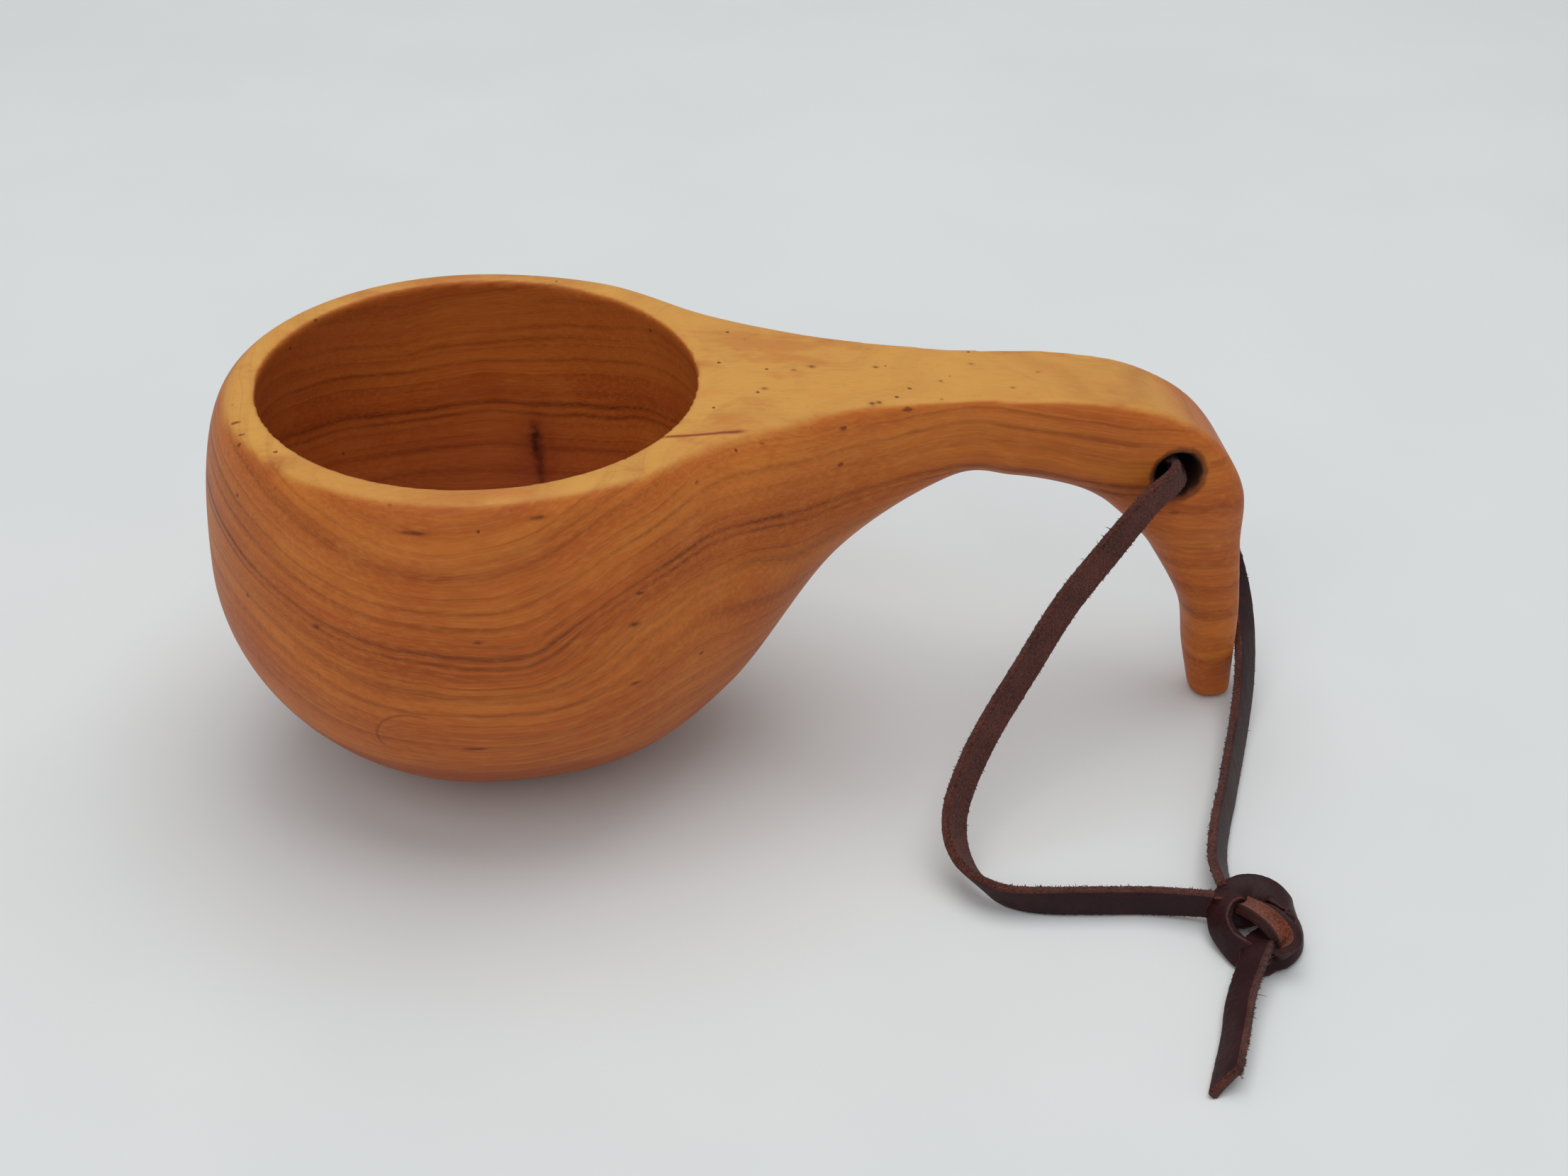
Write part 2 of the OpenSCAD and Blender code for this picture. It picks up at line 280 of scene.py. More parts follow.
def hole_tool():
    """The thong's hole, straight through sideways, with a flared mouth on each side."""
    mouth, reach, flare = SIDE_R - 0.6, 20, 1.2
    wide = HOLE_R + (reach - mouth) * (HOLE_MOUTH_R - HOLE_R) / flare
    profile = [[0, -reach], [wide, -reach], [HOLE_R, -mouth], [HOLE_R, mouth], [wide, reach], [0, reach]]
    verts, faces = revolve(profile, HOLE_SIDES)
    return np.stack([HOLE_X + verts[:, 0], verts[:, 2], HOLE_Z + verts[:, 1]], 1), faces


def table_tool():
    """What is below the table."""
    verts = np.array([(x, y, z) for x in (-50, 50) for y in (-50, 50) for z in (-20, 0)])
    faces = [(0, 1, 3, 2), (4, 6, 7, 5), (0, 4, 5, 1), (2, 3, 7, 6), (0, 2, 6, 4), (1, 5, 7, 3)]
    return verts, faces


def solid(name, verts, faces):
    """A closed mesh object in metres from points in mm."""
    mesh = mesh_of(name, verts * MM, faces)
    face_outwards(mesh, merge=1e-8)
    return link(name, mesh)


def make_cup():
    cup = solid("wood", *cup_outside())
    for name, shape in (("hollow", hollow_tool()), ("hole", hole_tool()), ("table", table_tool())):
        tool = solid(name, *shape)
        cut = cup.modifiers.new("cut", "BOOLEAN")
        cut.operation, cut.solver, cut.object = "DIFFERENCE", "EXACT", tool
        apply_modifiers(cup)
        bpy.data.objects.remove(tool)
    # an even mesh lets the cut edges be eased
    even = cup.modifiers.new("even", "REMESH")
    even.mode, even.voxel_size = "VOXEL", VOXEL
    apply_modifiers(cup)
    soften = cup.modifiers.new("soften", "SMOOTH")
    soften.factor, soften.iterations = 0.5, SOFTENING
    apply_modifiers(cup)
    points = np.zeros(len(cup.data.vertices) * 3)
    cup.data.vertices.foreach_get("co", points)
    points[2::3] = np.maximum(points[2::3], 0)
    cup.data.vertices.foreach_set("co", points)
    cup.data.update()
    cup.data.shade_smooth()
    return cup


# ---------------------------------------------------------------- the thong's mesh

THONG_W, THONG_T, KNOT_W = 5.4, 1.8, 5.0
CORNER = 0.26
# the tail's end slants by this much for each mm across, and the strip is drawn to the slant over its last part
TAIL_CUT, CUT_REACH = -0.75, 7
# how far a loose strip is curled across its width, in radians
LOOSE_CURL = 0.25
# below this height the strip is pressed flat by its own weight
BED = 0.2
RING_STEP, FLAT_POINTS, EDGE_POINTS = 0.3, 15, 5
# the strip's surfaces, which are also its material slots
FLESH, EDGE, GRAIN, WORN = range(4)
# a place along a strip, with the ways along it, across it and out of its flesh side
Station = namedtuple("Station", "point along across out curl")

# rows of x, y, z, and the way the strip's rough flesh side looks, as in the CAD
FRONT_ROUTE = [
    [HOLE_X, 0, HOLE_Z, 0.75, 0, 0.65], [HOLE_X, -8.5, HOLE_Z, 0.75, 0, 0.65],
    [127, -13, 57.2, 0.76, -0.64, 0.11], [121.5, -16.5, 54.4, 0.47, -0.88, 0.04],
    [113.3, -20.5, 46.5, 0.39, -0.91, 0.15], [104.8, -26, 39, 0.41, -0.89, 0.21],
    [97, -32, 30, 0.43, -0.87, 0.24], [88.4, -39.5, 20.5, 0.47, -0.84, 0.28],
    [83, -46, 12.5, 0.55, -0.75, 0.36], [81.5, -51, 8, 0.67, -0.49, 0.56],
    [82.5, -56, 5, 0.73, -0.02, 0.69], [85, -60.5, 4, 0.67, 0.44, 0.59],
    [89, -63.6, 3.3, 0.42, 0.83, 0.36], [95, -65.2, 3.1, 0.17, 0.98, 0.09],
    [104, -66.2, 3.1, 0.1, 0.99, 0.01], [114, -67.2, 3.1, 0.2, 0.98, 0.02],
    [124.5, -70.5, 4.2, 0.29, 0.95, 0.1],
]
BACK_ROUTE = [
    [HOLE_X, 0, HOLE_Z, 0.75, 0, 0.65], [HOLE_X, 9, HOLE_Z, 0.75, 0, 0.65],
    [130, 14.5, 54.5, 0.7, 0.45, 0.5], [133, 18.5, 47, 0.65, 0.7, 0.2],
    [138.5, 18.5, 37, 0.44, 0.89, 0.16], [146.2, 15.5, 27.5, 0.15, 0.92, -0.35],
    [149.8, 10, 19.5, -0.44, 0.62, -0.65], [150.3, 3, 13, -0.63, 0.46, -0.62],
    [148, -7.5, 8.3, -0.74, 0.41, -0.53], [144, -19, 4.7, -0.8, 0.39, -0.46],
    [139, -31.5, 3.6, -0.83, 0.36, -0.44], [136, -39, 3.5, -0.83, 0.35, -0.42],
    [133, -46, 3.4, -0.84, 0.34, -0.43], [130.2, -53.4, 3.5, -0.84, 0.26, -0.47],
    [128.4, -60.3, 3.8, -0.83, 0.1, -0.55], [127.8, -68, 4.5, -0.83, 0.01, -0.56],
]
# the tail starts inside the knot
TAIL_ROUTE = [
    [133.4, -77.9, 2.5, 0.1, 0.05, -1],
    [130.0, -80.6, 3.7, 0.25, -0.1, -0.95], [127.5, -85, 4.6, 0.56, -0.18, -0.8],
    [122.8, -93.5, 3.4, 0.63, -0.25, -0.74], [119.8, -101, 2.9, 0.67, -0.28, -0.69],
    [115.1, -111.6, 2.6, 0.66, -0.28, -0.7],
]
# the strand that ties the knot: in under the ring, over the tail, round the ring, and under to the tail;
# in both strands' rows the last number is how far the strip is curled
TYING_ROUTE = [
    [128.6, -67.5, 2.3, -0.55, 0.3, 0.8, 0.9], [129.3, -69.4, 2.9, -0.45, 0.1, 0.88, 1.6],
    [130.0, -72.4, 4.4, -0.05, -0.15, 0.98, 1.9], [131.5, -76.7, 6.1, 0.0, -0.35, 0.93, 1.9],
    [133.1, -80.2, 6.1, -0.1, -0.35, 0.93, 1.9], [134.1, -82.6, 5.0, -0.5, -0.1, 0.85, 1.8],
    [133.1, -83.8, 3.6, -0.7, 0.6, 0.35, 1.2], [131.0, -83.4, 2.4, -0.15, 0.9, -0.4, 0.8],
    [128.9, -83.4, 2.0, 0.2, 0.65, -0.75, 0.4], [126.7, -81.9, 2.5, 0.62, 0.6, -0.5, 0.4],
    [124.9, -79.1, 3.2, 0.93, 0.2, -0.28, 0.4], [124.2, -75.6, 4.0, 0.86, -0.1, -0.5, 0.5],
    [125.3, -71.9, 5.0, 0.6, -0.1, -0.8, 0.6], [128.1, -69.0, 5.5, 0.3, 0.2, -0.93, 0.7],
    [131.7, -68.2, 5.3, 0.0, 0.5, -0.86, 0.7], [134.8, -69.6, 5.3, -0.3, 0.4, -0.87, 0.7],
    [136.6, -71.9, 4.7, -0.55, 0.25, -0.8, 0.7], [137.4, -73.6, 3.6, -0.8, 0, -0.6, 0.7],
    [136.6, -76.0, 2.5, -0.5, 0.3, -0.8, 0.5], [134.6, -77.6, 2.3, 0.1, 0.2, -0.97, 0.3],
    [133.0, -78.6, 2.6, 0.4, 0.1, -0.9, 0.2],
]
# the other leg's strand: in under the ring, across under the tying strand, and round the outside
SECOND_ROUTE = [
    [123.2, -70.2, 4.1, 0.29, 0.95, 0.1, 0.25], [125.7, -70.9, 3.5, 0.2, 0.93, -0.2, 0.25],
    [128.6, -72.0, 2.9, 0, 0.75, -0.65, 0.3], [131.6, -71.2, 2.5, -0.1, 0.3, -0.95, 0.3],
    [134.7, -71.9, 2.7, -0.35, 0.1, -0.93, 0.4], [136.8, -74.7, 3.2, -0.75, 0.05, -0.66, 0.5],
    [137.5, -77.6, 3.5, -0.93, 0.1, -0.35, 0.6], [136.1, -80.3, 3.1, -0.8, 0.35, -0.5, 0.6],
    [133.9, -82.3, 2.8, -0.5, 0.65, -0.57, 0.6], [131.5, -82.9, 2.5, -0.1, 0.75, -0.65, 0.5],
    [129.8, -82.4, 2.2, 0.25, 0.7, -0.65, 0.4],
]


def unit(v):
    return v / np.linalg.norm(v)


def stations_along(route):
    """Evenly spaced stations of a route, and its length."""
    route = np.asarray(route, float)
    if route.shape[1] == 6:
        route = np.hstack([route, np.full((len(route), 1), LOOSE_CURL)])
    fine = np.array([curve(route, t) for t in np.linspace(0, len(route) - 1, 60 * len(route))])
    run = np.concatenate([[0], np.cumsum(np.linalg.norm(np.diff(fine[:, :3], axis=0), axis=1))])
    count = int(run[-1] / RING_STEP) + 1
    even = np.linspace(0, run[-1], count)
    rows = np.stack([np.interp(even, run, column) for column in fine.T], 1)
    stations = []
    for i, row in enumerate(rows):
        along = unit(rows[min(i + 1, count - 1), :3] - rows[max(i - 1, 0), :3])
        across = unit(np.cross(along, row[3:6]))
        stations.append(Station(row[:3], along, across, np.cross(across, along), row[6]))
    return stations, run[-1]


def strip_section(width):
    """Points round the strip, across and towards the flesh side, and the surface that starts at each."""
    w, h = width / 2, THONG_T / 2
    flat = np.linspace(CORNER - w, w - CORNER, FLAT_POINTS)
    edge = np.linspace(h - CORNER, CORNER - h, EDGE_POINTS)
    points = [(x, h) for x in flat] + [(w, z) for z in edge]
    points += [(x, -h) for x in flat[::-1]] + [(-w, z) for z in edge[::-1]]
    flats = FLAT_POINTS - 1
    kinds = [FLESH] * flats + [EDGE] * EDGE_POINTS + [WORN] + [GRAIN] * flats + [WORN] + [EDGE] * EDGE_POINTS
    return points, kinds


def rough(p, scale, seed):
    return noise.noise(Vector((p[0] * scale + seed, p[1] * scale, p[2] * scale)))


def on_strip(station, a, b):
    """A point of the strip at a across and b out, curled towards its flesh side."""
    point, _, across, out, curl = station
    radius = THONG_W / curl
    turn = a / radius
    return point + across * (math.sin(turn) * (radius - b)) + out * (radius - math.cos(turn) * (radius - b))


def strip_faces(stations, end_cut=0.0, width=THONG_W, fray=1.0):
    """The strip's surface, with its unevenness, and an end that slants by end_cut."""
    points, kinds = strip_section(width)
    n, last = len(points), len(stations) - 1
    verts, faces, slots = [], [], []
    for i, station in enumerate(stations):
        near_end = max(0.0, 1 - (last - i) * RING_STEP / CUT_REACH)
        for a, b in points:
            q = on_strip(station, a, b) + station.along * (end_cut * a * near_end**1.3)
            if abs(a) > width / 2 - 0.05:
                push = 0.16 * rough(q, 0.9, 3) + 0.20 * rough(q, 2.3, 9) + 0.22 * rough(q, 5.5, 21)
                q = q + station.across * math.copysign(push * fray, a) + station.out * 0.05 * rough(q, 3, 17)
            elif b > 0:
                q = q + station.out * (0.07 * rough(q, 1.6, 5) + 0.05 * rough(q, 5, 7))
            else:
                q = q + station.out * (0.04 * rough(q, 0.6, 8) + 0.025 * rough(q, 2.2, 4))
            verts.append(q)
    for i in range(last):
        for k in range(n):
            a, b = i * n + k, i * n + (k + 1) % n
            faces.append((a, b, b + n, a + n))
            slots.append(kinds[k])
    faces += [range(n)[::-1], range(last * n, last * n + n)]
    slots += [EDGE, EDGE]
    return verts, faces, slots


def hair(root, way, bend, side_a, reach, thick, steps):
    """A thin tapered hair with three sides that bends away from its way."""
    side_b = np.cross(way, side_a)
    verts = []
    for j in range(steps):
        t = j / steps
        centre = root + way * reach * t + bend * t * t
        r = thick * (1 - t * 0.75)
        for k in range(3):
            angle = 2 * math.pi * k / 3
            verts.append(centre + (side_a * math.cos(angle) + side_b * math.sin(angle)) * r)
    verts.append(root + way * reach + bend)
    faces = [(2, 1, 0)]
    for j in range(steps - 1):
        for k in range(3):
            m, q = 3 * j + k, 3 * j + (k + 1) % 3
            faces.append((m, q, q + 3, m + 3))
    faces += [(3 * (steps - 1) + k, 3 * (steps - 1) + (k + 1) % 3, 3 * steps) for k in range(3)]
    return verts, faces


def fibres(stations, seed, dense_side, dense, sparse, tip):
    """Loose fibres along the cut edges, dense and sparse of them to a mm, and tip of them on the cut end."""
    rng = np.random.default_rng(seed)
    w, h = THONG_W / 2, THONG_T / 2
    run = (len(stations) - 1) * RING_STEP
    roots = []
    for side, rate in ((dense_side, dense), (-dense_side, sparse)):
        for _ in range(int(run * rate)):
            at = rng.uniform(0.5, len(stations) - 1.5)
            roots.append((at, side * (w - 0.12), rng.uniform(-h * 0.8, h), side))
    for _ in range(tip):
        roots.append((len(stations) - 1.1, rng.uniform(-w, w), rng.uniform(-h, h), 0))
    verts, faces = [], []
    for at, a, b, side in roots:
        station = stations[int(at)]
        on_edge = side != 0
        shift = at % 1 * RING_STEP if on_edge else TAIL_CUT * a - 0.15
        root = on_strip(station, a, b) + station.along * shift
        lead = station.across * side if on_edge else station.along
        way = unit(lead + 0.55 * rng.normal(size=3) + station.out * 0.3 * (b / h))
        is_long = rng.random() < 0.015
        if is_long:
            reach, steps, limp = rng.uniform(0.5, 1.0), 5, 0.5
        else:
            reach, steps, limp = 0.12 + float(np.clip(rng.lognormal(-1.45, 0.4), 0.12, 0.5)), 3, 0.22
        thick = rng.uniform(0.06, 0.13)
        bend = rng.normal(size=3) * reach * limp
        side_a = unit(np.cross(way, rng.normal(size=3)))
        hair_verts, hair_faces = hair(root, way, bend, side_a, reach, thick, steps)
        faces += [[k + len(verts) for k in face] for face in hair_faces]
        verts += hair_verts
    return verts, faces, [EDGE] * len(faces)


def joined(name, parts):
    """One object out of several lists of points, faces and the faces' material slots."""
    verts, faces, slots = [], [], []
    for part_verts, part_faces, part_slots in parts:
        faces += [[k + len(verts) for k in face] for face in part_faces]
        verts += part_verts
        slots += part_slots
    verts = np.array(verts)
    z = verts[:, 2]
    verts[:, 2] = np.where(z < BED, BED + (z - BED) * 0.15, z)
    mesh = mesh_of(name, verts * MM, faces)
    mesh.polygons.foreach_set("material_index", slots)
    mesh.shade_smooth()
    face_outwards(mesh)
    return link(name, mesh)


def strip(name, route, seed, dense_side, end_cut=0.0, tip=0, dense=16, sparse=5):
    """A fibrous strip along a route, its middle line and its length, both in metres."""
    stations, length = stations_along(route)
    hairs = fibres(stations, seed, dense_side, dense, sparse, tip)
    piece = joined(name, [strip_faces(stations, end_cut), hairs])
    return piece, [tuple(s.point * MM) for s in stations], length * MM


front_leg, front_path, front_len = strip("thong_front", FRONT_ROUTE, 3, 1)
back_leg, back_path, back_len = strip("thong_back", BACK_ROUTE, 4, -1)
tail, _, _ = strip("thong_tail", TAIL_ROUTE, 5, 1, end_cut=TAIL_CUT, tip=150, dense=20)
strands = [stations_along(route)[0] for route in (TYING_ROUTE, SECOND_ROUTE)]
knot = joined("thong_knot", [strip_faces(strand, width=KNOT_W, fray=0.4) for strand in strands])
wood = make_cup()


# ---------------------------------------------------------------- materials

class Field:
    """A shader value that can be computed with."""

    def __init__(self, tree, socket):
        self.tree, self.socket = tree, socket

    def op(self, kind, *others, clamp=False):
        node = self.tree.nodes.new("ShaderNodeMath")
        node.operation, node.use_clamp = kind, clamp
        for k, v in enumerate((self, *others)):
            if isinstance(v, Field):
                self.tree.links.new(v.socket, node.inputs[k])
            else:
                node.inputs[k].default_value = v
        return Field(self.tree, node.outputs[0])

    def __add__(self, other):
        return self.op("ADD", other)

    def __mul__(self, other):
        return self.op("MULTIPLY", other)

    def __sub__(self, other):
        return self.op("SUBTRACT", other)

    def __rsub__(self, other):
        return self * -1.0 + other

    def __truediv__(self, other):
        return self.op("DIVIDE", other)

    def __pow__(self, other):
        return self.op("POWER", other)

    __radd__ = __add__
    __rmul__ = __mul__

    def clamp(self):
        return self.op("ADD", 0.0, clamp=True)

    def step(self, low, high):
        """0 below low and 1 above high, smooth between; low may be above high."""
        node = self.tree.nodes.new("ShaderNodeMapRange")
        node.interpolation_type = "SMOOTHSTEP"
        node.inputs["From Min"].default_value = min(low, high)
        node.inputs["From Max"].default_value = max(low, high)
        if low > high:
            node.inputs["To Min"].default_value, node.inputs["To Max"].default_value = 1, 0
        self.tree.links.new(self.socket, node.inputs["Value"])
        return Field(self.tree, node.outputs[0])

    def bell(self, middle, width):
        """1 at middle, falling to 0 over width."""
        off = self - middle
        return (off * off * (-1 / width**2)).op("EXPONENT")


class Look:
    """A procedural material under construction, with its points in mm."""

    def __init__(self, name):
        self.material = bpy.data.materials.new(name)
        self.material.use_nodes = True
        self.tree = self.material.node_tree
        self.tree.nodes.clear()
        place = self.tree.nodes.new("ShaderNodeTexCoord")
        scale = self.tree.nodes.new("ShaderNodeVectorMath")
        scale.operation = "SCALE"
        scale.inputs["Scale"].default_value = 1 / MM
        self.tree.links.new(place.outputs["Object"], scale.inputs[0])
        self.point = scale.outputs[0]
        split = self.tree.nodes.new("ShaderNodeSeparateXYZ")
        self.tree.links.new(self.point, split.inputs[0])
        self.x, self.y, self.z = (Field(self.tree, o) for o in split.outputs)
        normal = self.tree.nodes.new("ShaderNodeSeparateXYZ")
        self.tree.links.new(place.outputs["Normal"], normal.inputs[0])
        self.facing_up = Field(self.tree, normal.outputs[2])

    def vector(self, x, y, z):
        node = self.tree.nodes.new("ShaderNodeCombineXYZ")
        for k, v in enumerate((x, y, z)):
            if isinstance(v, Field):
                self.tree.links.new(v.socket, node.inputs[k])
            else:
                node.inputs[k].default_value = v
        return node.outputs[0]

    def noise(self, vector=None, scale=1.0, detail=2.0, roughness=0.5, distortion=0.0):
        node = self.tree.nodes.new("ShaderNodeTexNoise")
        self.tree.links.new(vector or self.point, node.inputs["Vector"])
        node.inputs["Scale"].default_value = scale
        node.inputs["Detail"].default_value = detail
        node.inputs["Roughness"].default_value = roughness
        node.inputs["Distortion"].default_value = distortion
        return Field(self.tree, node.outputs[0])

    def random(self, value):
        node = self.tree.nodes.new("ShaderNodeTexWhiteNoise")
        node.noise_dimensions = "1D"
        self.tree.links.new(value.socket, node.inputs["W"])
        return Field(self.tree, node.outputs["Value"])

    def cells(self, vector=None, scale=1.0):
        """Distance to the nearest of scattered points, and a random value of that point."""
        node = self.tree.nodes.new("ShaderNodeTexVoronoi")
        self.tree.links.new(vector or self.point, node.inputs["Vector"])
        node.inputs["Scale"].default_value = scale
        split = self.tree.nodes.new("ShaderNodeSeparateColor")
        self.tree.links.new(node.outputs["Color"], split.inputs[0])
        return Field(self.tree, node.outputs["Distance"]), Field(self.tree, split.outputs[0])

    def mix(self, share, a, b):
        """The colour a with a share of the colour b."""
        node = self.tree.nodes.new("ShaderNodeMix")
        node.data_type = "RGBA"
        self.tree.links.new(share.socket, node.inputs[0])
        for socket, colour in ((node.inputs[6], a), (node.inputs[7], b)):
            if isinstance(colour, tuple):
                socket.default_value = colour
            else:
                self.tree.links.new(colour, socket)
        return node.outputs[2]

    def shader(self, colour, roughness, bump, bump_mm, specular, sheen=0.0):
        node = self.tree.nodes.new("ShaderNodeBsdfPrincipled")
        self.tree.links.new(colour, node.inputs["Base Color"])
        self.tree.links.new(roughness.socket, node.inputs["Roughness"])
        node.inputs["Specular IOR Level"].default_value = specular
        node.inputs["Sheen Weight"].default_value = sheen
        node.inputs["Sheen Roughness"].default_value = 0.4
        relief = self.tree.nodes.new("ShaderNodeBump")
        relief.inputs["Strength"].default_value = 1.0
        relief.inputs["Distance"].default_value = bump_mm * MM
        self.tree.links.new(bump.socket, relief.inputs["Height"])
        self.tree.links.new(relief.outputs[0], node.inputs["Normal"])
        out = self.tree.nodes.new("ShaderNodeOutputMaterial")
        self.tree.links.new(node.outputs[0], out.inputs[0])
        return self.material


def srgb(*screen):
    """Linear colour from red, green and blue of 0 to 255 on the screen."""
    shares = [c / 255 for c in screen]
    return (*(c / 12.92 if c <= 0.04045 else ((c + 0.055) / 1.055) ** 2.4 for c in shares), 1)


def total(fields):
    first, *others = fields
    return sum(others, first)


def squared(field):
    return field * field


# lines that stand out: height of the layer, half width and strength
BOWL_LINES = [(49.6, 0.6, 0.85), (47.6, 0.45, 0.75), (58.6, 0.5, 0.5),
              (41.4, 0.6, 0.45), (36.5, 0.5, 0.3), (65.5, 0.5, 0.3)]
HOOK_LINES = [(29.2, 0.9, 0.6), (22.0, 1.0, 0.8), (16.0, 0.9, 0.6), (35.2, 0.8, 0.4),
              (49.0, 0.7, 0.4), (42.5, 0.8, 0.25), (10.0, 0.8, 0.3)]
# inside the far wall: place, reach, unevenness, strength and colour
BUD_MARKS = [((12.0, 38, 40), (5, 6, 9), 1.5, 0.55, srgb(128, 50, 24)),
             ((11.3, 38, 42.6), (1.1, 6, 3.6), 1.8, 0.85, srgb(58, 20, 14)),
             ((12.0, 37, 37.0), (0.9, 6, 5.0), 1.2, 0.7, srgb(78, 28, 18))]
RIM_STAIN = ((-33.2, -27.4, 76.4), (3.4, 2.2, 1.4), 2.0, 0.6, srgb(150, 62, 34))
# short dark dashes on the near side: place, and reach along and up
SIDE_DASHES = [(-10.5, -44, 72.3, 2.2, 0.4), (9.6, -44, 74.1, 1.5, 0.4), (25.2, -43.1, 51.6, 1.0, 0.5),
               (25.1, -42.5, 39.1, 1.1, 0.4), (-28.2, -38.5, 51.5, 0.6, 0.6), (-2.9, -43.3, 27.6, 2.0, 0.4)]
# dark dots on the flat top: x, y and radius
TOP_DOTS = [(51.3, -6.9, 0.6), (57.5, 0.2, 0.5), (61, 1.6, 0.7), (72.8, 1.8, 0.5), (70, -12, 0.6),
            (71.3, -11.6, 0.5), (84, -3, 0.4), (91, 4, 0.5), (97, -5, 0.5), (103, 1, 0.4)]
RING_PERIOD = 3.1
DARK_LINE, DARK_DOT = srgb(106, 44, 16), srgb(96, 40, 16)


def lines(level, rows):
    return total(level.bell(height, width) * strength for height, width, strength in rows)


def wood_marks(look, colour, warp):
    """The single marks: a bud, a red streak by the mouth, a stain, dashes, dots and a curved check."""
    x, y, z = look.x, look.y, look.z
    ragged = look.noise(scale=0.9, detail=3) - 0.5

    def spot(place, reach, uneven):
        far = total(squared(v - p) * (1 / r**2) for v, p, r in zip((x, y, z), place, reach))
        return ((far + ragged * uneven) * -1.0).op("EXPONENT").clamp()

    for place, reach, uneven, strength, stain in BUD_MARKS:
        colour = look.mix(spot(place, reach, uneven) * strength, colour, stain)
    streak_y = -23.9 + squared(x - 32) * 0.011
    streak = (y - streak_y).bell(0, 0.42) * x.step(30.5, 33) * x.step(47.5, 44.5) * z.step(74.5, 75.4)
    colour = look.mix(streak * 0.9, colour, srgb(126, 36, 16))
    place, reach, uneven, strength, stain = RIM_STAIN
    colour = look.mix(spot(place, reach, uneven) * strength, colour, stain)
    for px, py, pz, along, high in SIDE_DASHES:
        colour = look.mix(spot((px, py, pz), (along, 5, high), 1.6) * 0.8, colour, srgb(92, 34, 14))
    for px, py, r in TOP_DOTS:
        colour = look.mix(spot((px, py, 75), (r, r * 0.8, 3), 1.4) * 0.85, colour, DARK_DOT)
    arc = (squared(x + 13.5) + squared(z - 30.0)) ** 0.5
    check = (arc + warp * 0.35).bell(6.2, 0.28) * x.step(-8.5, -13) * (y * -1.0).step(20, 30) * z.step(25, 28)
    return look.mix(check * 0.55, colour, srgb(112, 54, 24))


